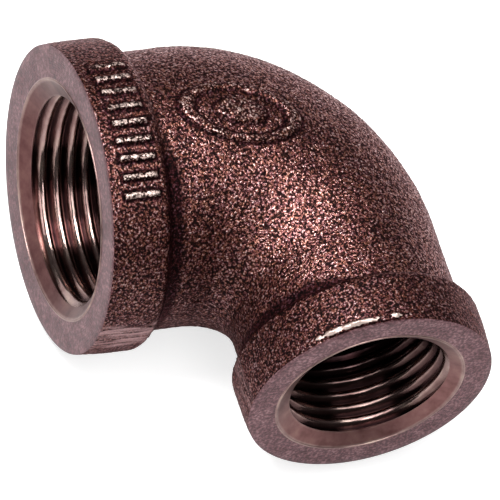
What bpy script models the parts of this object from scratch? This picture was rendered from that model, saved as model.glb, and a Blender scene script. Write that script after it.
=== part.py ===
"""Reducing pipe elbow, 3/4 to 1/2, with banded ends and female taper threads.

The axes of the two ports cross at the origin. The large port faces -X, the small port
faces -Y, and +Z is the normal of the plane that both axes lie in. Lengths are in metres.
The real elbow is one casting. Its regions are separate solids here: the pressure wall,
the band round each mouth, and the thread in each socket.
"""
import math

import bmesh
import bpy
from mathutils import Vector

MM = 0.001
GAP = 0.3 * MM                   # between regions that touch on the real casting
COLLECTION = "reducing_pipe_elbow"
AROUND = 48                      # facets round every turned or lofted wall

# Taper pipe thread, 14 threads to the inch, taper 1 in 16 on the diameter.
PITCH = 25.4 / 14.0 * MM
TAPER_ON_RADIUS = 1.0 / 32.0
FLANK_ANGLE = math.radians(30.0)
CREST_FLAT = 0.12 * MM
THREAD_SEGMENTS = 30             # points in each turn of the helix

# One entry for each port. reach is from the origin to the mouth's machined face.
LARGE = {
    "reach": 29.7 * MM,
    "wall_radius": 16.5 * MM,
    "core_radius": 13.45 * MM,
    "band_radius": 18.5 * MM,
    "band_width": 7.6 * MM,
    "band_edge": 0.9 * MM,
    "band_shoulder": 1.3 * MM,
    "countersink_radius": 14.2 * MM,
    "root_radius": 13.25 * MM,
    "crest_radius": 11.87 * MM,
    "thread_length": 12.7 * MM,
    "rotation": (0.0, -math.pi / 2, 0.0),
}
SMALL = {
    "reach": 31.6 * MM,
    "wall_radius": 13.4 * MM,
    "core_radius": 10.75 * MM,
    "band_radius": 15.1 * MM,
    "band_width": 7.1 * MM,
    "band_edge": 0.8 * MM,
    "band_shoulder": 0.9 * MM,
    "countersink_radius": 11.35 * MM,
    "root_radius": 10.57 * MM,
    "crest_radius": 9.19 * MM,
    "thread_length": 11.4 * MM,
    "rotation": (math.pi / 2, 0.0, 0.0),
}

# The bend, between an arc round its back and a small arc in its throat.
BACK_RADIUS = 29.1 * MM
THROAT_RADIUS = 3.2 * MM
BEND_STEPS = 12

# Round edges of the bands.
EDGE_STEPS = 3
SHOULDER_STEPS = 4

# Plain raised marks: a row of bars on the large band and a domed oval pad on the bend.
MARK_HEIGHT = 0.5 * MM
BAR_COUNT = 9
BAR_SPACING = math.radians(6.8)
BAR_FIRST = math.radians(70.0)
BAR_SIZE = Vector((4.4, 0.8, 2.0)) * MM       # along the port, round the band, into the band
PAD_TOP = Vector((-11.0, -1.0, 16.65)) * MM
PAD_HALF_SIZE = Vector((8.4, 4.1, 1.5)) * MM
PAD_TILT = math.radians(7.0)                  # follows the bend as it gets thinner
PAD_TURN = math.radians(-12.0)
PAD_SEGMENTS = 24
PAD_RINGS = 12


def clear_scene():
    """Remove every object, so that the model starts from nothing."""
    for item in list(bpy.data.objects):
        bpy.data.objects.remove(item, do_unlink=True)


def new_collection(name):
    """Return a new collection linked to the scene."""
    group = bpy.data.collections.new(name)
    bpy.context.scene.collection.children.link(group)
    return group


def metal(name, colour, roughness, metallic):
    """Return a Principled material for one region."""
    material = bpy.data.materials.new(name)
    material.use_nodes = True
    shader = material.node_tree.nodes["Principled BSDF"]
    shader.inputs["Base Color"].default_value = (*colour, 1.0)
    shader.inputs["Roughness"].default_value = roughness
    shader.inputs["Metallic"].default_value = metallic
    return material


def add_object(name, data, group, material=None):
    """Link a new object that holds data to the group."""
    item = bpy.data.objects.new(name, data)
    group.objects.link(item)
    if material:
        data.materials.append(material)
    return item


def arc(centre, radius, start, end, steps):
    """Return points of an arc from angle start to angle end, both included."""
    angles = [start + (end - start) * i / steps for i in range(steps + 1)]
    return [(centre[0] + radius * math.cos(a), centre[1] + radius * math.sin(a)) for a in angles]


def bend_sections(large_radius, small_radius, back_radius, throat_radius):
    """Return (throat point, back point, half height) for each section round the bend."""
    back_centre = (small_radius - back_radius, large_radius - back_radius)
    throat_centre = (-small_radius - throat_radius, -large_radius - throat_radius)
    back = arc(back_centre, back_radius, math.pi / 2, 0.0, BEND_STEPS)
    throat = arc(throat_centre, throat_radius, math.pi / 2, 0.0, BEND_STEPS)
    sections = []
    for i in range(BEND_STEPS + 1):
        blend = i / BEND_STEPS
        blend = blend * blend * (3.0 - 2.0 * blend)
        half_height = large_radius + (small_radius - large_radius) * blend
        sections.append((throat[i], back[i], half_height))
    return sections


def large_port_section(distance, radius):
    """Return a round section across the large port at a distance from the origin."""
    return ((-distance, -radius), (-distance, radius), radius)


def small_port_section(distance, radius):
    """Return a round section across the small port at a distance from the origin."""
    return ((-radius, -distance), (radius, -distance), radius)


def socket_profile(port):
    """Return (distance, radius) down a socket, from its mouth to the end of its thread."""
    countersink_depth = port["countersink_radius"] - port["root_radius"]
    thread_end = port["reach"] - port["thread_length"]
    end_radius = port["root_radius"] - port["thread_length"] * TAPER_ON_RADIUS
    return [
        (port["reach"], port["countersink_radius"]),
        (port["reach"] - countersink_depth, port["root_radius"]),
        (thread_end, end_radius),
    ]


def wall_sections():
    """Return the sections of the pressure wall: along its outside, then back inside."""
    large_wall = LARGE["wall_radius"] - LARGE["core_radius"]
    outside = [large_port_section(LARGE["reach"], LARGE["wall_radius"])]
    outside += bend_sections(LARGE["wall_radius"], SMALL["wall_radius"], BACK_RADIUS, THROAT_RADIUS)
    outside.append(small_port_section(SMALL["reach"], SMALL["wall_radius"]))
    inside = [large_port_section(d, r) for d, r in socket_profile(LARGE)]
    inside += bend_sections(
        LARGE["core_radius"],
        SMALL["core_radius"],
        BACK_RADIUS - large_wall,
        THROAT_RADIUS + large_wall,
    )
    inside += [small_port_section(d, r) for d, r in reversed(socket_profile(SMALL))]
    return outside + inside[::-1]


def section_ring(section):
    """Return the points round one section, from its back towards +Z."""
    throat, back, half_height = section
    throat = Vector((*throat, 0.0))
    back = Vector((*back, 0.0))
    middle = (throat + back) / 2
    half_width = (back - throat) / 2
    ring = []
    for i in range(AROUND):
        angle = 2 * math.pi * i / AROUND
        rise = Vector((0.0, 0.0, half_height * math.sin(angle)))
        ring.append(middle + half_width * math.cos(angle) + rise)
    return ring


def make_elbow_body(group, cutters, material):
    """Loft the pressure wall and add the oval pad on the upper side of the bend."""
    mesh = bpy.data.meshes.new("elbow_body")
    shape = bmesh.new()
    rings = [[shape.verts.new(p) for p in section_ring(s)] for s in wall_sections()]
    for ring, following in zip(rings, rings[1:] + rings[:1]):
        for i in range(AROUND):
            j = (i + 1) % AROUND
            shape.faces.new((ring[i], ring[j], following[j], following[i]))
    bmesh.ops.recalc_face_normals(shape, faces=shape.faces)
    shape.to_mesh(mesh)
    shape.free()
    body = add_object("elbow_body", mesh, group, material)
    pad = make_pad_guide(cutters)
    join(body, pad)
    return body


def make_pad_guide(cutters):
    """Return the ellipsoid whose top stands proud of the bend as a low dome."""
    mesh = bpy.data.meshes.new("bend_pad")
    shape = bmesh.new()
    bmesh.ops.create_uvsphere(shape, u_segments=PAD_SEGMENTS, v_segments=PAD_RINGS, radius=1.0)
    bmesh.ops.scale(shape, vec=PAD_HALF_SIZE, verts=shape.verts)
    shape.to_mesh(mesh)
    shape.free()
    pad = add_object("bend_pad", mesh, cutters)
    pad.location = PAD_TOP - Vector((0.0, 0.0, PAD_HALF_SIZE.z))
    pad.rotation_euler = (0.0, PAD_TILT, PAD_TURN)
    hide_guide(pad)
    return pad


def hide_guide(item):
    """Mark an object as construction only."""
    item.hide_render = True
    item.display_type = "WIRE"


def join(item, guide):
    """Union a guide into an object."""
    union = item.modifiers.new("join_" + guide.name, "BOOLEAN")
    union.operation = "UNION"
    union.object = guide


def turned_ring(name, outline, port, group, material):
    """Turn a closed outline of (radius, distance) round a port's axis."""
    mesh = bpy.data.meshes.new(name)
    points = [(radius, 0.0, distance) for radius, distance in outline]
    edges = [(i, (i + 1) % len(points)) for i in range(len(points))]
    mesh.from_pydata(points, edges, [])
    ring = add_object(name, mesh, group, material)
    ring.rotation_euler = port["rotation"]
    screw = ring.modifiers.new("turn", "SCREW")
    screw.steps = AROUND
    screw.render_steps = AROUND
    screw.use_merge_vertices = True
    screw.merge_threshold = 0.01 * MM
    return ring


def make_band(name, port, group, material):
    """Make the band round one mouth, with a round front edge and back shoulder."""
    inner = port["wall_radius"] + GAP
    edge = port["band_edge"]
    shoulder = port["band_shoulder"]
    back = port["reach"] - port["band_width"]
    outline = [(inner, port["reach"])]
    edge_centre = (port["band_radius"] - edge, port["reach"] - edge)
    outline += arc(edge_centre, edge, math.pi / 2, 0.0, EDGE_STEPS)
    shoulder_centre = (port["band_radius"] - shoulder, back + shoulder)
    outline += arc(shoulder_centre, shoulder, 0.0, -math.pi / 2, SHOULDER_STEPS)
    outline.append((inner, back))
    return turned_ring(name, outline, port, group, material)


def add_bars(band, port, cutters):
    """Add the row of plain raised bars along the band."""
    distance = port["reach"] - port["band_width"] / 2
    centre = port["band_radius"] + MARK_HEIGHT - BAR_SIZE.z / 2
    for i in range(BAR_COUNT):
        angle = BAR_FIRST + i * BAR_SPACING
        mesh = bpy.data.meshes.new("bar")
        shape = bmesh.new()
        bmesh.ops.create_cube(shape, size=1.0)
        bmesh.ops.scale(shape, vec=BAR_SIZE, verts=shape.verts)
        shape.to_mesh(mesh)
        shape.free()
        bar = add_object(f"bar_{i + 1}", mesh, cutters)
        bar.location = (-distance, centre * math.cos(angle), centre * math.sin(angle))
        bar.rotation_euler = (angle - math.pi / 2, 0.0, 0.0)
        hide_guide(bar)
        join(band, bar)


def make_thread(name, port, group, cutters, material):
    """Make the ridge of one female taper thread as a helix inside the socket."""
    start = port["reach"] - (port["countersink_radius"] - port["root_radius"]) - PITCH / 2
    end = port["reach"] - port["thread_length"] + PITCH / 2
    turns = (start - end) / PITCH
    count = int(turns * THREAD_SEGMENTS)
    curve = bpy.data.curves.new(name, "CURVE")
    curve.dimensions = "3D"
    curve.twist_mode = "Z_UP"
    spline = curve.splines.new("POLY")
    spline.points.add(count - 1)
    for i in range(count):
        angle = 2 * math.pi * i / THREAD_SEGMENTS
        distance = end + PITCH * i / THREAD_SEGMENTS
        depth = port["reach"] - distance
        radius = port["crest_radius"] - depth * TAPER_ON_RADIUS
        place = (radius * math.cos(angle), radius * math.sin(angle), distance, 1.0)
        spline.points[i].co = place
    curve.bevel_mode = "OBJECT"
    curve.bevel_object = make_thread_profile(name + "_profile", port, cutters)
    curve.use_fill_caps = True
    thread = add_object(name, curve, group, material)
    thread.rotation_euler = port["rotation"]
    return thread


def make_thread_profile(name, port, cutters):
    """Return the flat 60 degree profile of the ridge, its crest at the origin."""
    height = port["root_radius"] - port["crest_radius"] - GAP
    half_base = CREST_FLAT / 2 + height * math.tan(FLANK_ANGLE)
    corners = [
        (0.0, -CREST_FLAT / 2),
        (0.0, CREST_FLAT / 2),
        (height, half_base),
        (height, -half_base),
    ]
    curve = bpy.data.curves.new(name, "CURVE")
    curve.dimensions = "2D"
    spline = curve.splines.new("POLY")
    spline.points.add(len(corners) - 1)
    for point, corner in zip(spline.points, corners):
        point.co = (*corner, 0.0, 1.0)
    spline.use_cyclic_u = True
    profile = add_object(name, curve, cutters)
    hide_guide(profile)
    return profile


def main():
    clear_scene()
    parts = new_collection(COLLECTION)
    cutters = new_collection("construction")
    skin = metal("cast_skin", (0.062, 0.030, 0.026), 0.55, 0.6)
    machined = metal("cut_thread", (0.22, 0.14, 0.12), 0.32, 1.0)
    make_elbow_body(parts, cutters, skin)
    large_band = make_band("large_end_band", LARGE, parts, skin)
    add_bars(large_band, LARGE, cutters)
    make_band("small_end_band", SMALL, parts, skin)
    make_thread("large_end_thread", LARGE, parts, cutters, machined)
    make_thread("small_end_thread", SMALL, parts, cutters, machined)


main()
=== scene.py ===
"""Looks for the reducing pipe elbow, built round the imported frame. Lengths are in metres.

The large port faces -X, the small port faces -Y, and the marked side faces +Z. Each visible
piece is a closed mesh: the cast wall of the bend, the band round each mouth with its machined
face, and the tapped socket in each mouth.
"""
import math

import bmesh
import bpy
import numpy as np
from mathutils import Matrix, Vector, noise


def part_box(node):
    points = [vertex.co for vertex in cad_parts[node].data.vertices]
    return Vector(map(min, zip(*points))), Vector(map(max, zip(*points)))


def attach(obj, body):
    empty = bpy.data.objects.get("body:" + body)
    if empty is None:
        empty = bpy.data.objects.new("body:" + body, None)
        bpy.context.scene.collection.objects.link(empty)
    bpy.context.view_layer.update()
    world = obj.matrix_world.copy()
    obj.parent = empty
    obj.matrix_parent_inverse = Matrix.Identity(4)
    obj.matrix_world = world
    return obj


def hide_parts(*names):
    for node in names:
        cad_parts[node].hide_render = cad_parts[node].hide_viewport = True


MM = 0.001
ROOT = "root"
AROUND = 560                     # points round each cast ring
RING_STEP = 0.17 * MM            # between rings along the cast skin
EDGE_STEP = 0.06 * MM            # between rings close behind each face

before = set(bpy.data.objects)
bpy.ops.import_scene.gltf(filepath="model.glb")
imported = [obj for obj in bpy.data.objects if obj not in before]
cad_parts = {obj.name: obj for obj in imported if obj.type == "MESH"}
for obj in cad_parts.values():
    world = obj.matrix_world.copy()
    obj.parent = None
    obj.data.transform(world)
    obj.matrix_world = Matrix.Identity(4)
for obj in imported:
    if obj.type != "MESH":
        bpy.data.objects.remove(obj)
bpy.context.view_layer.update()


def port_sizes(band, axis):
    """Return the reach and band radius of one port, measured on the frame."""
    low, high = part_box(band)
    return -low[axis], high[1 - axis]


LARGE_REACH, LARGE_BAND = port_sizes("large_end_band", 0)
SMALL_REACH, SMALL_BAND = port_sizes("small_end_band", 1)

# Sizes of the two ends. Distances along a port run from the crossing of the axes. Two values give
# how dark the painted shade in the crease behind the band is and how much darker the whole band is
# painted, and three give how bright the cut metal is painted on the countersink, deep in the
# socket and on the flanks of the thread, darkened in each as painted shade.
LARGE = {
    "name": "large",
    "reach": LARGE_REACH,
    "band_radius": LARGE_BAND,
    "face_radius": LARGE_BAND - 0.12 * MM,
    "band_width": 7.6 * MM,
    "shoulder": 1.35 * MM,
    "fillet": 0.75 * MM,
    "wall_radius": 16.5 * MM,
    "core_radius": 13.45 * MM,
    "land_radius": 14.5 * MM,
    "countersink_radius": 14.2 * MM,
    "crest_radius": 12.25 * MM,
    "thread_length": 12.7 * MM,
    "thread_turn": math.radians(148.0),
    "crease_shade": 0.25,
    "band_darkening": 0.25,
    "cone_shade": (0.36, 0.23, 0.24),
    "deep_shade": (0.550, (1.00, 0.96, 0.96)),
    "flank_shade": 1.0,
    "matrix": Matrix.Rotation(-math.pi / 2, 4, "Y"),
    "axis": 0,
}
SMALL = {
    "name": "small",
    "reach": SMALL_REACH,
    "band_radius": SMALL_BAND,
    "face_radius": SMALL_BAND - 0.20 * MM,
    "band_width": 7.1 * MM,
    "shoulder": 1.05 * MM,
    "fillet": 0.65 * MM,
    "wall_radius": 13.4 * MM,
    "core_radius": 10.75 * MM,
    "land_radius": 11.65 * MM,
    "countersink_radius": 11.35 * MM,
    "crest_radius": 9.58 * MM,
    "thread_length": 11.4 * MM,
    "thread_turn": math.radians(209.0),
    "crease_shade": 0.75,
    "band_darkening": 0.45,
    "cone_shade": (0.52, 0.36, 0.37),
    "deep_shade": (0.450, (0.70, 0.66, 0.66)),
    "flank_shade": 0.65,
    "matrix": Matrix.Rotation(math.pi / 2, 4, "X"),
    "axis": 1,
}
SOCKET_SLACK = 0.6 * MM          # the socket ring runs this far past its thread
BURR_RADIUS = 0.10 * MM          # of the ring that the countersink pushed up from the face
BACK_RADIUS = 29.1 * MM
THROAT_RADIUS = 3.2 * MM

# Taper thread.
PITCH = 25.4 / 14.0 * MM
TAPER = 1.0 / 32.0
TURN_STEPS = 144

# The camera, along the photograph's line of sight. The aim is off the origin in its own plane.
CAMERA_AZIMUTH = math.radians(-33.73)
CAMERA_ELEVATION = math.radians(52.38)
CAMERA_ROLL = math.radians(21.31)
CAMERA_DISTANCE = 2.385
CAMERA_LENS = 1454.0
AIM_RIGHT = -5.32 * MM
AIM_UP = -9.11 * MM


# ---------------------------------------------------------------- shape helpers

def arc(centre, radius, start, end, steps):
    """Return points of an arc from angle start to angle end, both included."""
    angles = [start + (end - start) * i / steps for i in range(steps + 1)]
    return [(centre[0] + radius * math.cos(a), centre[1] + radius * math.sin(a)) for a in angles]


def spread(start, end, step):
    """Return values from start to end, both included, about step apart."""
    count = max(1, round(abs(end - start) / step))
    return [start + (end - start) * i / count for i in range(count + 1)]


def smooth(value):
    """Ease from 0 to 1, flat at both ends. Works on numbers and arrays."""
    value = np.clip(value, 0.0, 1.0)
    return value * value * (3.0 - 2.0 * value)


def ring_points(throat, back, half_height):
    """Return the points round one section, starting at its back and turning towards +Z."""
    angle = np.arange(AROUND) * 2.0 * math.pi / AROUND
    throat = np.array((*throat, 0.0))
    back = np.array((*back, 0.0))
    rise = np.array((0.0, 0.0, half_height))
    middle = (throat + back) / 2.0
    half = (back - throat) / 2.0
    return middle + np.outer(np.cos(angle), half) + np.outer(np.sin(angle), rise)


def port_ring(port, distance, radius):
    """Return the points of a round section across a port."""
    if port["axis"] == 0:
        return ring_points((-distance, -radius), (-distance, radius), radius)
    return ring_points((-radius, -distance), (radius, -distance), radius)


def bend_rings(grow, steps):
    """Return rings round the bend. grow is added to the outside radius, negative for the core."""
    large = LARGE["wall_radius"] + grow[0]
    small = SMALL["wall_radius"] + grow[1]
    back_radius = BACK_RADIUS + grow[0]
    throat_radius = THROAT_RADIUS - grow[0]
    back_centre = (small - back_radius, large - back_radius)
    throat_centre = (-small - throat_radius, -large - throat_radius)
    back = arc(back_centre, back_radius, math.pi / 2, 0.0, steps)
    throat = arc(throat_centre, throat_radius, math.pi / 2, 0.0, steps)
    rings = []
    for i in range(steps + 1):
        half_height = large + (small - large) * float(smooth(i / steps))
        rings.append(ring_points(throat[i], back[i], half_height))
    return rings


def blend_rings(first, last, count):
    """Return the rings strictly between two rings, evenly spaced."""
    return [first + (last - first) * i / count for i in range(1, count)]


def closed_mesh(name, rings):
    """Join a loop of rings into a closed mesh object and return it."""
    count = len(rings)
    points = np.concatenate(rings)
    index = np.arange(count * AROUND).reshape(count, AROUND)
    across = np.roll(index, -1, axis=1)
    faces = np.stack(
        [index, across, np.roll(across, -1, axis=0), np.roll(index, -1, axis=0)], axis=-1
    ).reshape(-1, 4)
    mesh = bpy.data.meshes.new(name)
    mesh.vertices.add(len(points))
    mesh.vertices.foreach_set("co", points.ravel())
    mesh.loops.add(faces.size)
    mesh.loops.foreach_set("vertex_index", faces.ravel())
    mesh.polygons.add(len(faces))
    mesh.polygons.foreach_set("loop_start", np.arange(0, faces.size, 4))
    mesh.update(calc_edges=True)
    mesh.validate()
    item = bpy.data.objects.new(name, mesh)
    bpy.context.scene.collection.objects.link(item)
    face_out(mesh)
    return item


def face_out(mesh):
    """Turn every face of a closed, evenly wound mesh outwards."""
    shape = bmesh.new()
    shape.from_mesh(mesh)
    if shape.calc_volume(signed=True) < 0:
        bmesh.ops.reverse_faces(shape, faces=shape.faces)
    shape.to_mesh(mesh)
    shape.free()


def finish_mesh(item, sharp_angle):
    """Shade smooth, with sharp edges above the angle."""
    item.data.shade_smooth()
    item.data.set_sharp_from_angle(angle=math.radians(sharp_angle))


def paint(item, materials, choose):
    """Give faces their material: choose takes face centres and returns slot numbers."""
    for material in materials:
        item.data.materials.append(material)
    mesh = item.data
    centres = np.empty(len(mesh.polygons) * 3)
    mesh.polygons.foreach_get("center", centres)
    slots = choose(centres.reshape(-1, 3)).astype(np.int32)
    mesh.polygons.foreach_set("material_index", slots)
    mesh.update()


# ---------------------------------------------------------------- cast relief

def octaves(points, size, count):
    """Return smooth noise of about -1 to 1 at each point, with features of the given size."""
    scaled = points / size
    return np.array([noise.fractal(p, 1.0, 2.0, count) for p in scaled])


WAVE_SIZE = 6.0 * MM
WAVE_HEIGHT = 0.070 * MM
GRAIN_SIZE = 0.50 * MM
GRAIN_HEIGHT = 0.050 * MM
PIT_SIZE = 1.4 * MM
PIT_DEPTH = 0.09 * MM
GRAIN_SHIFT = 0.37               # metres, so that the three patterns don't line up
PIT_SHIFT = 0.91


def sand(points):
    """Return the height of the sandy cast skin at each point."""
    wave = octaves(points, WAVE_SIZE, 2)
    grain = octaves(points + GRAIN_SHIFT, GRAIN_SIZE, 2)
    pits = octaves(points + PIT_SHIFT, PIT_SIZE, 1)
    height = WAVE_HEIGHT * wave + GRAIN_HEIGHT * grain
    return height - PIT_DEPTH * smooth((pits - 0.42) / 0.35)


def soft_box(distance, half, edge):
    """Return 1 inside a half width and 0 outside it, with a soft edge."""
    return smooth((half - np.abs(distance)) / edge + 0.5)


PARTING_HALF = 0.28 * MM
PARTING_HEIGHT = 0.11 * MM
GROUND_DEPTH = 0.10 * MM
GROUND_EDGE = 0.8 * MM
SCRATCH_WIDTH = 0.42 * MM
SCRATCH_LENGTH = 4.5 * MM
FLASH_HALF = 1.2 * MM
FLASH_GROUND = 0.16              # how bare the ground flash is, and what its streaks add
FLASH_STREAKS = 0.6
GATE_HALF = 2.7 * MM
GATE_LEVEL = -3.0 * MM
GATE_GROUND = 0.50               # the same where the gate was cut off
GATE_STREAKS = 1.1


def parting_line(points):
    """Return the height of the worn parting line in the plane of the two axes."""
    rough = octaves(points, 1.8 * MM, 2)
    ridge = np.exp(-((points[:, 2] / PARTING_HALF) ** 2))
    return PARTING_HEIGHT * ridge * (0.8 + 0.7 * rough)


def ground_strip(points, port):
    """Return (height, share of ground metal) where the flash is ground off a band.

    The wider strip, low on the throat side of the large band, is where the gate was cut off.
    """
    axis = port["axis"]
    stretch = np.full(3, SCRATCH_WIDTH)
    stretch[axis] = SCRATCH_LENGTH
    scratch = octaves(points / stretch, 1.0, 3)
    ragged = octaves(points, 2.4 * MM, 2)
    gate = (points[:, 1] < 0) * (port is LARGE)
    middle = np.where(gate, GATE_LEVEL, 0.0) + 0.5 * MM * ragged
    half = np.where(gate, GATE_HALF, FLASH_HALF)
    inside = soft_box(points[:, 2] - middle, half, GROUND_EDGE)
    height = -GROUND_DEPTH * (0.6 + 0.9 * scratch) * inside
    on_gate = GATE_GROUND + GATE_STREAKS * scratch
    on_flash = FLASH_GROUND + FLASH_STREAKS * scratch
    ground = np.where(gate, on_gate, on_flash)
    return height, inside * np.clip(ground, 0.0, 1.0)


BAR_COUNT = 9
BAR_FIRST = math.radians(70.0)
BAR_SPACING = math.radians(6.8)
BAR_HALF_LENGTH = 2.2 * MM
BAR_HALF_WIDTH = 0.40 * MM
MARK_EDGE = 0.30 * MM
MARK_HEIGHT = 0.48 * MM
BAR_BARE = 0.42                  # how far the tops of the bars are rubbed to bare metal
FOOT_SHADE = 0.32 * MM            # how far the painted shade reaches from the foot of a mark


def band_bars(points, margin=0.0):
    """Return how far each point stands up in the plain raised bars, from 0 to 1.

    margin widens the bars, for the painted shade round their feet.
    """
    angle = np.arctan2(points[:, 2], points[:, 1])
    along = -points[:, 0] - (LARGE["reach"] - LARGE["band_width"] / 2)
    worn = 1.0 + 0.25 * octaves(points, 1.1 * MM, 2)
    height = np.zeros(len(points))
    for i in range(BAR_COUNT):
        across = (angle - BAR_FIRST - i * BAR_SPACING) * LARGE["band_radius"]
        bar = soft_box(along, BAR_HALF_LENGTH + margin, MARK_EDGE)
        bar *= soft_box(across, BAR_HALF_WIDTH + margin, MARK_EDGE)
        height = np.maximum(height, bar)
    return height * worn


PAD_CENTRE = np.array((-11.0, -1.0)) * MM
PAD_TURN = math.radians(-12.0)
PAD_HALF = np.array((7.5, 4.0)) * MM
PAD_RIM = 0.9 * MM
PAD_MIDDLE = 0.42                # of the oval, raised like its rim
PAD_BARE = 0.30                  # how far its top is rubbed to bare metal


def bend_pad(points, margin=0.0):
    """Return how far each point stands up in the blank oval pad and its rim, from 0 to 1.

    margin widens the rim and the middle, for the painted shade round their feet.
    """
    offset = points[:, :2] - PAD_CENTRE
    turn = np.array(
        ((math.cos(PAD_TURN), -math.sin(PAD_TURN)), (math.sin(PAD_TURN), math.cos(PAD_TURN)))
    )
    oval = np.sqrt(((offset @ turn / PAD_HALF) ** 2).sum(axis=1))
    from_edge = (1.0 - oval) * PAD_HALF[1]
    rim = soft_box(from_edge - PAD_RIM / 2, PAD_RIM / 2 + margin, MARK_EDGE)
    middle = soft_box(oval * PAD_HALF[1], PAD_MIDDLE * PAD_HALF[1] + margin, MARK_EDGE)
    worn = 1.0 + 0.2 * octaves(points, 1.1 * MM, 2)
    return np.maximum(rim, middle) * (points[:, 2] > 0) * worn


# The lip along the upper edge of the small band, and the groove between it and the face.
BURR_START = math.radians(78.0)
BURR_END = math.radians(133.0)
BURR_HEIGHT = 0.32 * MM
BURR_BEHIND = 0.62 * MM
BURR_DRIFT = 0.10 * MM           # further behind the face by its far end
BURR_HALF = 0.30 * MM
BURR_GAP_BEHIND = 0.20 * MM
BURR_GAP_HALF = 0.12 * MM
BURR_GAP_DEPTH = 0.12 * MM


def edge_burr(points):
    """Return (height, bareness, painted shadow) of the lip that facing the small band pushed up.
    """
    angle = np.arctan2(points[:, 2], points[:, 0])
    along = SMALL["reach"] + points[:, 1]
    share = (angle - BURR_START) / (BURR_END - BURR_START)
    ends = smooth(share / 0.25) * smooth((1.0 - share) / 0.20)
    ragged = np.clip(1.0 + 1.1 * octaves(points, 0.9 * MM, 3), 0.2, 1.6)
    from_lip = along - BURR_BEHIND - BURR_DRIFT * share
    lip = np.exp(-((from_lip / BURR_HALF) ** 2)) * ends * ragged
    # The groove in front of the lip, which is also painted dark as its shadow.
    gap_and_shadow = np.exp(-(((along - BURR_GAP_BEHIND) / BURR_GAP_HALF) ** 2)) * ends
    return BURR_HEIGHT * lip - BURR_GAP_DEPTH * gap_and_shadow, np.clip(2.0 * lip - 0.3, 0.0, 1.0), gap_and_shadow


def mesh_points(mesh):
    """Return the points and normals of a mesh's vertices."""
    count = len(mesh.vertices)
    points = np.empty(count * 3)
    normals = np.empty(count * 3)
    mesh.vertices.foreach_get("co", points)
    mesh.vertex_normals.foreach_get("vector", normals)
    return points.reshape(-1, 3), normals.reshape(-1, 3)


def save_values(mesh, name, values):
    """Keep one value for each vertex, for a material to read."""
    layer = mesh.attributes.new(name, "FLOAT", "POINT")
    layer.data.foreach_set("value", values.astype(np.float32))


def shape_skin(item, relief):
    """Move the skin along its normals. relief gives the height and named values at each point."""
    mesh = item.data
    points, normals = mesh_points(mesh)
    height, values = relief(points)
    points = points + normals * height[:, None]
    mesh.vertices.foreach_set("co", points.ravel())
    for name, value in values.items():
        save_values(mesh, name, value)
    mesh.update()


# ---------------------------------------------------------------- cast pieces

def fillet_ring(port):
    """Return the points of (distance, radius) round the fillet behind a band."""
    back = port["reach"] - port["band_width"]
    fillet = port["fillet"]
    centre = (back - fillet, port["wall_radius"] + fillet)
    return arc(centre, fillet, 0.0, -math.pi / 2, 8)


EDGE_BREAK = 0.09 * MM           # at the outer edge of each machined face
EDGE_ZONE = 1.2 * MM             # behind each face, where the rings are closer
CROWN_SHARE = 1.6                # how soon the band reaches its full radius


def band_outline(port):
    """Return (distance, radius) from the face's inner edge round the band to its fillet."""
    reach = port["reach"]
    back = reach - port["band_width"]
    radius = port["band_radius"]
    face = port["face_radius"]
    shoulder = port["shoulder"]
    outline = [(reach, r) for r in spread(port["land_radius"], face - EDGE_BREAK, 0.8 * MM)]
    # Known fault: this arc runs backwards. It folds over and meets the edge of the face again, so
    # that edge is doubled and two narrow strips face inwards. It should run from 0.0 to pi / 2.
    edge_centre = (reach - EDGE_BREAK, face - EDGE_BREAK)
    outline += arc(edge_centre, EDGE_BREAK, math.pi / 2, 0.0, 3)[1:]
    crown_end = back + shoulder
    near_face = spread(reach - EDGE_BREAK, reach - EDGE_ZONE, EDGE_STEP)
    for distance in near_face[1:] + spread(reach - EDGE_ZONE, crown_end, RING_STEP)[1:]:
        share = (reach - distance) / (reach - crown_end)
        crown = face + (radius - face) * math.sin(math.pi / 2 * min(1.0, share * CROWN_SHARE))
        outline.append((distance, crown))
    outline += arc((crown_end, radius - shoulder), shoulder, math.pi / 2, math.pi, 10)[1:]
    fillet = fillet_ring(port)
    drop = spread(radius - shoulder, fillet[0][1], RING_STEP)
    outline += [(back, r) for r in drop[1:-1]]
    outline += fillet[: len(fillet) // 2 + 1]
    return outline


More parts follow.
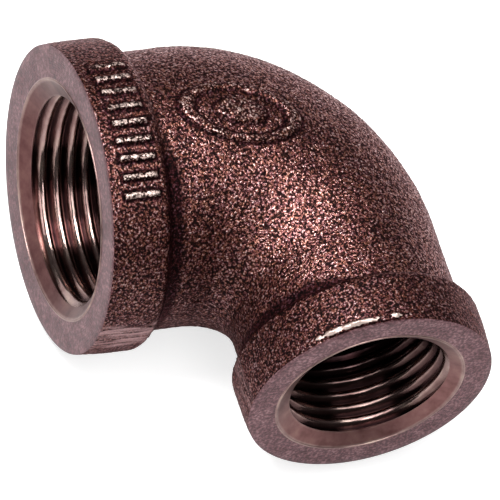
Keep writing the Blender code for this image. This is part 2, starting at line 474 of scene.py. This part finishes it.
def make_band(port, skin, face):
    """Make the band round one mouth with its machined face."""
    outline = band_outline(port)
    crease = outline[-1][0]
    hidden = [(crease, port["land_radius"]), (port["reach"] - 1 * MM, port["land_radius"])]
    rings = [port_ring(port, d, r) for d, r in outline + hidden]
    band = closed_mesh(port["name"] + "_end_band_skin", rings)
    axis = port["axis"]

    def relief(points):
        """Return the height and the named values over the band."""
        distance = -points[:, axis]
        radius = np.sqrt((points**2).sum(axis=1) - distance**2)
        outside = radius > port["wall_radius"]
        behind_face = port["reach"] - distance
        fade_front = smooth((behind_face - 0.12 * MM) / (0.7 * MM))
        fade_back = smooth((distance - crease) / (0.6 * MM))
        fade = outside * fade_front * fade_back
        strip, ground = ground_strip(points, port)
        ground *= outside * (radius > port["face_radius"] - 0.4 * MM)
        cast = sand(points) * (1.0 - 0.8 * ground) + strip
        bare = np.zeros(len(points))
        # Painted shade in the crease behind the band and low down.
        crease_shade_value = crease_shade(port, 2 * (distance - crease), points[:, 1 - axis])
        shade_and_grime = np.maximum(crease_shade_value, low_shade(points))
        # The whole band painted darker, more on the small band.
        shade_and_grime = np.maximum(shade_and_grime, port["band_darkening"]) * outside
        if port is LARGE:
            bars = band_bars(points)
            cast += bars * MARK_HEIGHT
            bare = BAR_BARE * bars * fade
            # Painted shade round the feet of the bars.
            shade_and_grime += np.clip(band_bars(points, FOOT_SHADE) - bars, 0.0, 1.0) * fade
        height = cast * fade
        if port is SMALL:
            on_edge = outside * smooth((behind_face - 0.02 * MM) / (0.08 * MM))
            burr, burr_bare, gap_and_shadow = edge_burr(points)
            height += burr * on_edge
            bare = burr_bare * outside
            # Painted shadow in the groove in front of the lip.
            shade_and_grime = np.maximum(shade_and_grime, gap_and_shadow * outside)
        return height, {"bare": bare, "ground": ground, "shade_and_grime": shade_and_grime}

    shape_skin(band, relief)

    def choose(centres):
        """Return 1 on the machined face and 0 on the cast skin."""
        return centres[:, axis] < -(port["reach"] - 0.03 * MM)

    paint(band, [skin, face], choose)
    finish_mesh(band, 50.0)
    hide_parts(port["name"] + "_end_band")
    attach(band, ROOT)
    return band


def socket_end(port):
    """Return the distance at which the socket ring stops and the core begins."""
    return port["reach"] - port["thread_length"] - SOCKET_SLACK


def crease_shade(port, behind, across):
    """Return the painted shade by a port's band, darker and wider towards the throat of the bend.

    behind is the distance from the back of the band, and across the distance past the port's
    axis, away from the throat.
    """
    top = port["crease_shade"]
    throat_side = smooth(-across / (8.0 * MM))
    width = (0.5 + 1.5 * throat_side) * MM
    return (top + (1.0 - top) * throat_side) * smooth(1.5 - np.abs(behind) / width)


# Painted shade, darker towards the bottom.
LOW_SHADE = 0.50
LOW_SHADE_TOP = 13.0 * MM
LOW_SHADE_FADE = 14.0 * MM


def low_shade(points):
    """Return the painted shade that darkens the lower half."""
    return LOW_SHADE * smooth((LOW_SHADE_TOP - points[:, 2]) / LOW_SHADE_FADE)


def wall_shade(points):
    """Return how far painted shade darkens the wall close behind each band and low down."""
    behind_large = LARGE["reach"] - LARGE["band_width"] + points[:, 0]
    behind_small = SMALL["reach"] - SMALL["band_width"] + points[:, 1]
    by_large = crease_shade(LARGE, behind_large, points[:, 1])
    by_small = crease_shade(SMALL, behind_small, points[:, 0])
    return np.maximum(np.maximum(by_large, by_small), low_shade(points))


BEND_STEPS = 200
CORE_STEPS = 30
LARGE_BLEND_STEPS = 26           # rings between a fillet and the bend
SMALL_BLEND_STEPS = 24


def make_wall(skin):
    """Make the cast wall: the bend's outer skin and its flow passage."""
    large_fillet = fillet_ring(LARGE)
    small_fillet = fillet_ring(SMALL)
    middle = len(large_fillet) // 2
    start = [port_ring(LARGE, d, r) for d, r in large_fillet[middle:]]
    stop = [port_ring(SMALL, d, r) for d, r in small_fillet[middle:]][::-1]
    bend = bend_rings((0.0, 0.0), BEND_STEPS)
    rings = start + blend_rings(start[-1], bend[0], LARGE_BLEND_STEPS)
    rings += bend
    rings += blend_rings(bend[-1], stop[0], SMALL_BLEND_STEPS) + stop
    outer_count = len(rings)
    core_large = LARGE["core_radius"] - LARGE["wall_radius"]
    core_small = SMALL["core_radius"] - SMALL["wall_radius"]
    core = bend_rings((core_large, core_small), CORE_STEPS)[::-1]
    rings.append(port_ring(SMALL, small_fillet[middle][0], SMALL["land_radius"]))
    rings.append(port_ring(SMALL, socket_end(SMALL), SMALL["land_radius"]))
    rings.append(port_ring(SMALL, socket_end(SMALL), SMALL["core_radius"]))
    rings += core
    rings.append(port_ring(LARGE, socket_end(LARGE), LARGE["core_radius"]))
    rings.append(port_ring(LARGE, socket_end(LARGE), LARGE["land_radius"]))
    rings.append(port_ring(LARGE, large_fillet[middle][0], LARGE["land_radius"]))
    wall = closed_mesh("bend_wall", rings)
    ring_weight = np.zeros(len(rings))
    fade = np.arange(outer_count)
    ring_weight[:outer_count] = smooth(np.minimum(fade, fade[::-1]) / 5.0)
    weight = np.repeat(ring_weight, AROUND)

    def relief(points):
        """Return the height and the named values over the wall."""
        pad = bend_pad(points)
        height = (sand(points) + parting_line(points) + pad * MARK_HEIGHT) * weight
        # Painted shade round the feet of the pad.
        foot_shade = np.clip(bend_pad(points, FOOT_SHADE) - pad, 0.0, 1.0)
        return height, {"bare": PAD_BARE * pad * weight, "shade_and_grime": wall_shade(points) + foot_shade}

    shape_skin(wall, relief)
    wall.data.materials.append(skin)
    finish_mesh(wall, 60.0)
    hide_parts("elbow_body")
    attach(wall, ROOT)
    return wall


# ---------------------------------------------------------------- tapped sockets

def turned(name, outline):
    """Turn a closed outline of (distance, radius) round local Z and return the mesh object."""
    shape = bmesh.new()
    columns = []
    for i in range(TURN_STEPS):
        angle = 2 * math.pi * i / TURN_STEPS
        columns.append(
            [shape.verts.new((r * math.cos(angle), r * math.sin(angle), d)) for d, r in outline]
        )
    for left, right in zip(columns, columns[1:] + columns[:1]):
        for j in range(len(outline)):
            k = (j + 1) % len(outline)
            shape.faces.new((left[j], right[j], right[k], left[k]))
    return solid_object(name, shape)


def mesh_object(name, shape):
    """Return a linked object that holds the bmesh."""
    mesh = bpy.data.meshes.new(name)
    shape.to_mesh(mesh)
    shape.free()
    item = bpy.data.objects.new(name, mesh)
    bpy.context.scene.collection.objects.link(item)
    return item


def solid_object(name, shape):
    """Return a linked object that holds a closed bmesh, grown from metres to millimetres."""
    bmesh.ops.recalc_face_normals(shape, faces=shape.faces)
    if shape.calc_volume(signed=True) < 0:
        bmesh.ops.reverse_faces(shape, faces=shape.faces)
    bmesh.ops.scale(shape, vec=(1 / MM,) * 3, verts=shape.verts)
    return mesh_object(name, shape)


# Half of the thread form, from the middle of a crest: (along the pitch, depth below the crest).
HALF_FORM = ((0.04, 0.0), (0.30, 0.10), (0.42, 0.20), (0.85, 0.95), (0.907, 0.98))
THREAD_DEPTH = HALF_FORM[-1][1] * MM


def tap_profile():
    """Return (step along the pitch, height) for one thread, with rounded crests and a V root."""
    half = [(along * MM, height * MM) for along, height in HALF_FORM]
    return half + [(PITCH - along, height) for along, height in reversed(half[:-1])]


def make_tap(port):
    """Return a solid tap with the thread's form, which cuts the socket's thread."""
    profile = tap_profile()
    low = socket_end(port) - PITCH
    turns = int((port["reach"] - low) / PITCH) + 2
    steps = turns * TURN_STEPS
    shape = bmesh.new()
    columns = []
    for i in range(steps + 1):
        angle = 2 * math.pi * i / TURN_STEPS + port["thread_turn"]
        base = low + PITCH * i / TURN_STEPS
        column = []
        for along, height in profile:
            distance = base + along
            depth = port["reach"] - distance
            past = depth - port["thread_length"]
            fade = 1.0 - 0.9 * float(smooth((past + 1.5 * PITCH) / (2.0 * PITCH)))
            radius = port["crest_radius"] - depth * TAPER + height * fade
            column.append(
                shape.verts.new((radius * math.cos(angle), radius * math.sin(angle), distance))
            )
        columns.append(column)
    rows = len(profile)
    for i in range(steps):
        left = columns[i]
        right = columns[i + 1]
        for j in range(rows - 1):
            shape.faces.new((left[j], right[j], right[j + 1], left[j + 1]))
        if i + TURN_STEPS <= steps:
            above = columns[i + TURN_STEPS]
            if i + 1 + TURN_STEPS <= steps:
                above_right = columns[i + 1 + TURN_STEPS]
                shape.faces.new((left[-1], right[-1], above_right[0], above[0]))
    for loop in split_loops([e for e in shape.edges if e.is_boundary]):
        height = sum(v.co.z for v in loop) / len(loop)
        tip = shape.verts.new((0.0, 0.0, height))
        for a, b in zip(loop, loop[1:] + loop[:1]):
            shape.faces.new((a, b, tip))
    return solid_object(port["name"] + "_tap", shape)


def split_loops(edges):
    """Return the closed vertex loops that a set of boundary edges makes."""
    left = set(edges)
    loops = []
    while left:
        edge = left.pop()
        first, here = edge.verts
        loop = [first, here]
        while here != first:
            edge = next(e for e in here.link_edges if e in left)
            left.discard(edge)
            here = edge.other_vert(here)
            if here != first:
                loop.append(here)
        loops.append(loop)
    return loops


def cut(item, cutter):
    """Take the cutter away from the item for good."""
    tool = item.modifiers.new("cut", "BOOLEAN")
    tool.operation = "DIFFERENCE"
    tool.solver = "EXACT"
    tool.object = cutter
    evaluated = item.evaluated_get(bpy.context.evaluated_depsgraph_get())
    mesh = bpy.data.meshes.new_from_object(evaluated)
    item.modifiers.clear()
    old = item.data
    item.data = mesh
    bpy.data.meshes.remove(old)
    bpy.data.objects.remove(cutter)


LAND_GAP = 0.004 * MM            # keeps the socket just off the surface that it sits in
BLANK_SPARE = 0.3 * MM           # metal inside the crests, which the tap takes away
SINK_ANGLE = math.radians(60.0)  # of the countersink, from the port's axis


def make_socket(port, thread):
    """Make the tapped ring in one mouth, with its countersink."""
    end = socket_end(port)
    land = port["land_radius"] - LAND_GAP
    sink_radius = port["countersink_radius"]
    blank_radius = port["crest_radius"] - (port["reach"] - end) * TAPER - BLANK_SPARE
    sink_depth = (sink_radius - blank_radius) / math.tan(SINK_ANGLE)
    outline = [
        (port["reach"], land),
        (end, land),
        (end, blank_radius),
        (port["reach"] - sink_depth, blank_radius),
        (port["reach"] - BURR_RADIUS / 4, sink_radius - BURR_RADIUS / 4 * math.tan(SINK_ANGLE)),
    ]
    burr_centre = (port["reach"], sink_radius + BURR_RADIUS)
    outline += arc(burr_centre, BURR_RADIUS, -math.pi / 2, math.pi / 2, 6)
    socket = turned(port["name"] + "_socket", outline)
    cut(socket, make_tap(port))
    socket.data.transform(port["matrix"] @ Matrix.Scale(MM, 4))
    points, _ = mesh_points(socket.data)
    behind_face = port["reach"] + points[:, port["axis"]]
    save_values(socket.data, "depth", behind_face / port["thread_length"])
    radius = np.sqrt((points**2).sum(axis=1) - points[:, port["axis"]] ** 2)
    crest = port["crest_radius"] - behind_face * TAPER
    past_cone = smooth((behind_face - sink_depth + 0.2 * MM) / (0.4 * MM))
    groove = np.clip((radius - crest) / THREAD_DEPTH, 0.0, 1.0)
    save_values(socket.data, "groove", groove * past_cone)
    socket.data.materials.append(thread)
    finish_mesh(socket, 35.0)
    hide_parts(port["name"] + "_end_thread")
    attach(socket, ROOT)
    return socket


# ---------------------------------------------------------------- materials

def new_material(name):
    """Return a material with its node tree and its Principled shader."""
    material = bpy.data.materials.new(name)
    material.use_nodes = True
    tree = material.node_tree
    return material, tree, tree.nodes["Principled BSDF"]


def coordinates(tree, stretch=(1.0, 1.0, 1.0)):
    """Return an output with the object's own coordinates, in millimetres, stretched."""
    source = tree.nodes.new("ShaderNodeTexCoord")
    mapping = tree.nodes.new("ShaderNodeMapping")
    mapping.inputs["Scale"].default_value = [s / MM for s in stretch]
    tree.links.new(source.outputs["Object"], mapping.inputs["Vector"])
    return mapping.outputs["Vector"]


def grain_node(tree, vector, size, detail=2.0, roughness=0.5):
    """Return a noise output with features of the given size in millimetres."""
    node = tree.nodes.new("ShaderNodeTexNoise")
    node.inputs["Scale"].default_value = 1.0 / size
    node.inputs["Detail"].default_value = detail
    node.inputs["Roughness"].default_value = roughness
    tree.links.new(vector, node.inputs["Vector"])
    return node.outputs["Fac"]


def ramp_node(tree, value, stops):
    """Return the colour output of a ramp over a value. stops are (place, colour)."""
    node = tree.nodes.new("ShaderNodeValToRGB")
    ramp = node.color_ramp
    while len(ramp.elements) < len(stops):
        ramp.elements.new(0.5)
    for element, (place, colour) in zip(ramp.elements, stops):
        element.position = place
        element.color = (*colour, 1.0)
    tree.links.new(value, node.inputs["Fac"])
    return node.outputs["Color"]


def range_node(tree, value, low, high, to_low, to_high):
    """Return a value mapped from one range to another."""
    node = tree.nodes.new("ShaderNodeMapRange")
    node.inputs["From Min"].default_value = low
    node.inputs["From Max"].default_value = high
    node.inputs["To Min"].default_value = to_low
    node.inputs["To Max"].default_value = to_high
    tree.links.new(value, node.inputs["Value"])
    return node.outputs["Result"]


def mix_node(tree, factor, first, second, blend="MIX"):
    """Return the mix of two colour outputs. factor is an output or a number."""
    node = tree.nodes.new("ShaderNodeMix")
    node.data_type = "RGBA"
    node.blend_type = blend
    if isinstance(factor, float):
        node.inputs["Factor"].default_value = factor
    else:
        tree.links.new(factor, node.inputs["Factor"])
    tree.links.new(first, node.inputs["A"])
    tree.links.new(second, node.inputs["B"])
    return node.outputs["Result"]


def bump_node(tree, height, distance, strength, below=None):
    """Return a bumped normal. distance is in metres, and strength is an output or a number."""
    node = tree.nodes.new("ShaderNodeBump")
    if isinstance(strength, float):
        node.inputs["Strength"].default_value = strength
    else:
        tree.links.new(strength, node.inputs["Strength"])
    node.inputs["Distance"].default_value = distance
    tree.links.new(height, node.inputs["Height"])
    if below is not None:
        tree.links.new(below, node.inputs["Normal"])
    return node.outputs["Normal"]


def attribute_node(tree, name):
    """Return the value of a mesh attribute."""
    node = tree.nodes.new("ShaderNodeAttribute")
    node.attribute_name = name
    return node.outputs["Fac"]


def cell_node(tree, vector, size):
    """Return a value that falls from 1 in the middle of each round grain."""
    node = tree.nodes.new("ShaderNodeTexVoronoi")
    node.feature = "SMOOTH_F1"
    node.inputs["Scale"].default_value = 1.0 / size
    node.inputs["Smoothness"].default_value = 0.35
    tree.links.new(vector, node.inputs["Vector"])
    return range_node(tree, node.outputs["Distance"], 0.0, 0.8, 1.0, 0.0)


def flat_colour(tree, colour):
    """Return a constant colour output."""
    node = tree.nodes.new("ShaderNodeRGB")
    node.outputs["Color"].default_value = (*colour, 1.0)
    return node.outputs["Color"]


def add_scaled(tree, value, scale, base):
    """Return a value times a scale, plus a base value."""
    node = tree.nodes.new("ShaderNodeMath")
    node.operation = "MULTIPLY_ADD"
    tree.links.new(value, node.inputs[0])
    node.inputs[1].default_value = scale
    tree.links.new(base, node.inputs[2])
    return node.outputs["Value"]


def flat_value(tree, number):
    """Return a constant value output."""
    node = tree.nodes.new("ShaderNodeValue")
    node.outputs["Value"].default_value = number
    return node.outputs["Value"]


def mix_value(tree, factor, first, second):
    """Return the mix of two values by a factor output. first and second are outputs or numbers."""
    node = tree.nodes.new("ShaderNodeMix")
    node.data_type = "FLOAT"
    tree.links.new(factor, node.inputs["Factor"])
    for name, value in (("A", first), ("B", second)):
        if isinstance(value, float):
            node.inputs[name].default_value = value
        else:
            tree.links.new(value, node.inputs[name])
    return node.outputs["Result"]


def warped(tree, vector, size, amount):
    """Return coordinates pushed about by noise, by up to half the amount in millimetres."""
    noise_node = tree.nodes.new("ShaderNodeTexNoise")
    noise_node.inputs["Scale"].default_value = 1.0 / size
    tree.links.new(vector, noise_node.inputs["Vector"])
    push = tree.nodes.new("ShaderNodeVectorMath")
    push.operation = "MULTIPLY_ADD"
    push.inputs[1].default_value = (amount,) * 3
    tree.links.new(noise_node.outputs["Color"], push.inputs[0])
    tree.links.new(vector, push.inputs[2])
    return push.outputs["Vector"]


BARE_METAL = (0.76, 0.60, 0.54)
GROUND_METAL = (0.40, 0.265, 0.265)
RUBBED_TIP = (0.57, 0.46, 0.44)
SHADE_AND_SOOT = (0.16, 0.10, 0.14)   # what painted shade and soot leave of each colour
OIL_TINT = (1.0, 0.66, 0.68, 1.0)
GRAIN = 0.30                     # of the sandy skin, in millimetres

# The brown of the casting in patches, and in smaller specks.
PATCH_TONES = (
    (0.30, (0.100, 0.024, 0.023)),
    (0.55, (0.152, 0.040, 0.034)),
    (0.75, (0.200, 0.062, 0.044)),
)
SPECK_TONES = (
    (0.32, (0.100, 0.027, 0.042)),
    (0.50, (0.138, 0.037, 0.030)),
    (0.68, (0.250, 0.090, 0.044)),
)


def cast_skin_material():
    """Oiled, sandy, dark reddish brown cast iron, bare where ground or rubbed, with soot and
    painted shade.
    """
    material, tree, shader = new_material("cast_skin")
    place = coordinates(tree)
    fine = grain_node(tree, place, 0.20, 3.0, 0.6)
    cells = cell_node(tree, warped(tree, place, 0.38, 0.5), GRAIN)
    sandy = range_node(tree, grain_node(tree, place, GRAIN, 3.0, 0.65), 0.3, 0.7, 0.0, 1.0)
    grains = mix_value(tree, flat_value(tree, 0.5), cells, sandy)
    patches = grain_node(tree, place, 3.0, 3.0, 0.6)
    tint = grain_node(tree, place, 0.55, 2.0, 0.5)
    base = ramp_node(tree, patches, PATCH_TONES)
    cast = mix_node(tree, 0.5, base, ramp_node(tree, tint, SPECK_TONES))
    pitted = range_node(tree, grains, 0.36, 0.64, 0.05, 1.85)
    cast = mix_node(tree, 1.0, cast, pitted, "MULTIPLY")
    rubbed = range_node(tree, grains, 0.57, 0.80, 0.0, 0.85)
    cast = mix_node(tree, rubbed, cast, flat_colour(tree, RUBBED_TIP))
    # Soot in random patches, plus the painted shade that the mesh carries.
    shade_and_grime = add_scaled(tree, patches, 0.5, attribute_node(tree, "shade_and_grime"))
    shade_and_soot_cover = range_node(tree, shade_and_grime, 0.35, 1.1, 0.0, 1.0)
    shaded_and_sooty = mix_node(tree, 1.0, cast, flat_colour(tree, SHADE_AND_SOOT), "MULTIPLY")
    cast = mix_node(tree, shade_and_soot_cover, cast, shaded_and_sooty)
    rubbed_off = add_scaled(tree, grains, 0.6, attribute_node(tree, "bare"))
    bare = range_node(tree, rubbed_off, 0.60, 0.80, 0.0, 1.0)
    cast = mix_node(tree, attribute_node(tree, "ground"), cast, flat_colour(tree, GROUND_METAL))
    colour = mix_node(tree, bare, cast, flat_colour(tree, BARE_METAL))
    tree.links.new(colour, shader.inputs["Base Color"])
    tree.links.new(mix_value(tree, bare, 0.88, 0.97), shader.inputs["Metallic"])
    rough = mix_value(tree, bare, range_node(tree, grains, 0.30, 0.60, 0.55, 0.27), 0.50)
    tree.links.new(mix_value(tree, shade_and_soot_cover, rough, 0.6), shader.inputs["Roughness"])
    strength = mix_value(tree, bare, 1.0, 0.25)
    rounded = bump_node(tree, grains, 0.080 * MM, strength)
    normal = bump_node(tree, fine, 0.02 * MM, strength, rounded)
    tree.links.new(normal, shader.inputs["Normal"])
    shader.inputs["Specular Tint"].default_value = OIL_TINT
    oiled = range_node(tree, grains, 0.40, 0.62, 0.04, 0.80)
    tree.links.new(mix_value(tree, shade_and_soot_cover, oiled, 0.0), shader.inputs["Coat Weight"])
    shader.inputs["Coat Roughness"].default_value = 0.25
    tree.links.new(normal, shader.inputs["Coat Normal"])
    return material


# The turned metal of the faces, its stains, and the tool-cut metal of the sockets.
FACE_TONES = (
    (0.36, (0.075, 0.032, 0.038)),
    (0.50, (0.142, 0.068, 0.077)),
    (0.64, (0.280, 0.158, 0.170)),
)
FACE_STAINS = (
    (0.35, (0.72, 0.62, 0.64)),
    (0.65, (1.10, 1.10, 1.10)),
)
CUT_TONES = (
    (0.30, (0.24, 0.150, 0.140)),
    (0.52, (0.36, 0.255, 0.235)),
    (0.74, (0.48, 0.375, 0.320)),
)


def machined_face_material(port):
    """Turned metal: pinkish grey, with fine rings and mottling."""
    material, tree, shader = new_material(port["name"] + "_machined_face")
    place = coordinates(tree)
    mottle = grain_node(tree, place, 0.36, 3.0, 0.6)
    stain = grain_node(tree, place, 2.4, 2.0, 0.5)
    colour = ramp_node(tree, mottle, FACE_TONES)
    stains = ramp_node(tree, stain, FACE_STAINS)
    tree.links.new(mix_node(tree, 1.0, colour, stains, "MULTIPLY"), shader.inputs["Base Color"])
    rings = tree.nodes.new("ShaderNodeTexWave")
    rings.wave_type = "RINGS"
    rings.rings_direction = "XYZ"[port["axis"]]
    rings.inputs["Scale"].default_value = 1.1
    rings.inputs["Distortion"].default_value = 1.5
    rings.inputs["Detail"].default_value = 2.0
    tree.links.new(place, rings.inputs["Vector"])
    shader.inputs["Metallic"].default_value = 0.75
    rough = range_node(tree, mottle, 0.3, 0.7, 0.34, 0.52)
    tree.links.new(rough, shader.inputs["Roughness"])
    turned_marks = bump_node(tree, rings.outputs["Fac"], 0.015 * MM, 0.6)
    normal = bump_node(tree, mottle, 0.05 * MM, 0.7, turned_marks)
    tree.links.new(normal, shader.inputs["Normal"])
    return material


def depth_tones_and_shade(port):
    """Return how bright the cut metal is by depth, as a share of the thread's length.

    The stops are the raised lip, the countersink, the working threads and the run-out. The
    countersink and the run-out are darkened as painted shade.
    """
    return (
        (0.000, (0.85, 0.80, 0.80)),
        (0.012, port["cone_shade"]),
        (0.080, port["cone_shade"]),
        (0.120, (1.15, 1.12, 1.12)),
        port["deep_shade"],
        (0.900, (0.08, 0.06, 0.07)),
    )

def groove_shade_tones(port):
    """Return the painted shade on the cut metal from the crest of a thread down to its root."""
    flank = port["flank_shade"]
    return (
        (0.00, (1.00, 1.00, 1.00)),
        (0.12, (0.88, 0.86, 0.86)),
        (0.28, (0.56 * flank, 0.48 * flank, 0.48 * flank)),
        (0.60, (0.34 * flank, 0.26 * flank, 0.28 * flank)),
        (1.00, (0.07, 0.05, 0.06)),
    )


CONE_ROUGHNESS = 0.36


def thread_material(port):
    """Tool-cut metal with a warm cast, marked along the cut, with painted shade deep inside and in
    the grooves.
    """
    material, tree, shader = new_material(port["name"] + "_cut_thread")
    stretch = [0.25, 0.25, 0.25]
    stretch[port["axis"]] = 2.2
    along = coordinates(tree, stretch)
    place = coordinates(tree)
    marks = grain_node(tree, along, 0.30, 3.0, 0.6)
    stain = grain_node(tree, place, 2.2, 3.0, 0.6)
    colour = ramp_node(tree, stain, CUT_TONES)
    depth = attribute_node(tree, "depth")
    # Painted shade on the countersink and deep in the socket.
    colour = mix_node(tree, 1.0, colour, ramp_node(tree, depth, depth_tones_and_shade(port)), "MULTIPLY")
    # Painted shade down the grooves of the thread.
    groove_shade = ramp_node(tree, attribute_node(tree, "groove"), groove_shade_tones(port))
    colour = mix_node(tree, 1.0, colour, groove_shade, "MULTIPLY")
    tree.links.new(colour, shader.inputs["Base Color"])
    shader.inputs["Metallic"].default_value = 1.0
    on_cone = range_node(tree, depth, 0.08, 0.12, 1.0, 0.0)
    polish = range_node(tree, marks, 0.3, 0.7, 0.10, 0.24)
    rough = mix_value(tree, on_cone, polish, CONE_ROUGHNESS)
    tree.links.new(rough, shader.inputs["Roughness"])
    tree.links.new(bump_node(tree, marks, 0.02 * MM, 0.8), shader.inputs["Normal"])
    return material


# ---------------------------------------------------------------- stage

def camera_axes():
    """Return the camera's right, up and back directions."""
    back = Vector((
        math.sin(CAMERA_AZIMUTH) * math.cos(CAMERA_ELEVATION),
        -math.cos(CAMERA_AZIMUTH) * math.cos(CAMERA_ELEVATION),
        math.sin(CAMERA_ELEVATION),
    ))
    level_right = Vector((0.0, 0.0, 1.0)).cross(back).normalized()
    level_up = back.cross(level_right)
    right = math.cos(CAMERA_ROLL) * level_right + math.sin(CAMERA_ROLL) * level_up
    return right, back.cross(right), back


def make_camera():
    """Add the camera."""
    right, up, back = camera_axes()
    data = bpy.data.cameras.new("camera")
    data.lens = CAMERA_LENS
    data.sensor_width = 36.0
    data.clip_start = 0.1
    data.clip_end = 10.0
    camera = bpy.data.objects.new("camera", data)
    aim = right * AIM_RIGHT + up * AIM_UP
    turn = Matrix((right, up, back)).transposed().to_4x4()
    camera.matrix_world = Matrix.Translation(aim + back * CAMERA_DISTANCE) @ turn
    bpy.context.scene.collection.objects.link(camera)
    bpy.context.scene.camera = camera


def area_light(name, direction, distance, size, power):
    """Add a soft rectangular light that faces the elbow, with its width nearest to X or to Y."""
    data = bpy.data.lights.new(name, "AREA")
    data.shape = "RECTANGLE"
    data.size = size[0]
    data.size_y = size[1]
    data.energy = power
    back = Vector(direction).normalized()
    level = Vector((1.0, 0.0, 0.0)) if abs(back.x) < abs(back.z) else Vector((0.0, 1.0, 0.0))
    right = (level - back * level.dot(back)).normalized()
    turn = Matrix((right, back.cross(right), back)).transposed().to_4x4()
    light = bpy.data.objects.new(name, data)
    light.matrix_world = Matrix.Translation(back * distance) @ turn
    bpy.context.scene.collection.objects.link(light)


# Soft lights: name, direction, distance, width and height in metres, and watts. The key is large
# and overhead with a brighter middle. Weaker cards face the large mouth, the small mouth from
# above, and the back.
LIGHTS = (
    ("key", (-0.180, -0.300, 1.0), 0.9, (1.17, 0.69), 8.0),
    ("key_centre", (-0.300, 0.080, 0.940), 0.88, (0.48, 0.38), 10.0),
    ("side_card", (-0.96, 0.05, 0.17), 0.9, (0.40, 0.24), 1.1),
    ("front_card", (-0.15, -0.66, 0.73), 0.9, (0.20, 0.28), 1.1),
    ("back_card", (0.70, 0.70, 0.12), 0.9, (0.80, 0.45), 1.0),
)
WORLD_COLOUR = (1.0, 0.98, 0.99, 1.0)
WORLD_LIGHT = 0.08               # the dim studio, as light on the elbow
WORLD_TO_CAMERA = 0.93           # and as the camera sees its walls, as pale as the floor


def make_lights():
    """Add the lights and the dim studio round them."""
    for name, direction, distance, size, power in LIGHTS:
        area_light(name, direction, distance, size, power)
    world = bpy.data.worlds.new("studio")
    world.use_nodes = True
    tree = world.node_tree
    background = tree.nodes["Background"]
    rays = tree.nodes.new("ShaderNodeLightPath")
    strength = mix_value(tree, rays.outputs["Is Camera Ray"], WORLD_LIGHT, WORLD_TO_CAMERA)
    tree.links.new(strength, background.inputs["Strength"])
    background.inputs["Color"].default_value = WORLD_COLOUR
    bpy.context.scene.world = world
    bpy.context.scene.view_settings.view_transform = "Standard"


FLOOR_HALF = 0.35
FLOOR_GAP = 0.1 * MM             # under the large band, for the grain of its skin
FLOOR_COLOUR = (0.64, 0.64, 0.64, 1.0)
FLOOR_TO_CAMERA = 0.70           # an even glow that only the camera sees, so the shadow is faint


def make_floor():
    """Add the plain pale floor under the large band."""
    bottom = -LARGE["band_radius"] - FLOOR_GAP
    shape = bmesh.new()
    bmesh.ops.create_grid(shape, x_segments=2, y_segments=2, size=FLOOR_HALF)
    floor = mesh_object("floor", shape)
    floor.location = (0.0, 0.0, bottom)
    material, tree, shader = new_material("floor")
    shader.inputs["Base Color"].default_value = FLOOR_COLOUR
    shader.inputs["Roughness"].default_value = 0.8
    shader.inputs["Emission Color"].default_value = (1.0, 1.0, 1.0, 1.0)
    rays = tree.nodes.new("ShaderNodeLightPath")
    glow = mix_value(tree, rays.outputs["Is Camera Ray"], 0.0, FLOOR_TO_CAMERA)
    tree.links.new(glow, shader.inputs["Emission Strength"])
    floor.data.materials.append(material)


def main():
    """Build the stage and the elbow."""
    make_camera()
    make_lights()
    make_floor()
    skin = cast_skin_material()
    make_wall(skin)
    for port in (LARGE, SMALL):
        face = machined_face_material(port)
        make_band(port, skin, face)
        make_socket(port, thread_material(port))


main()
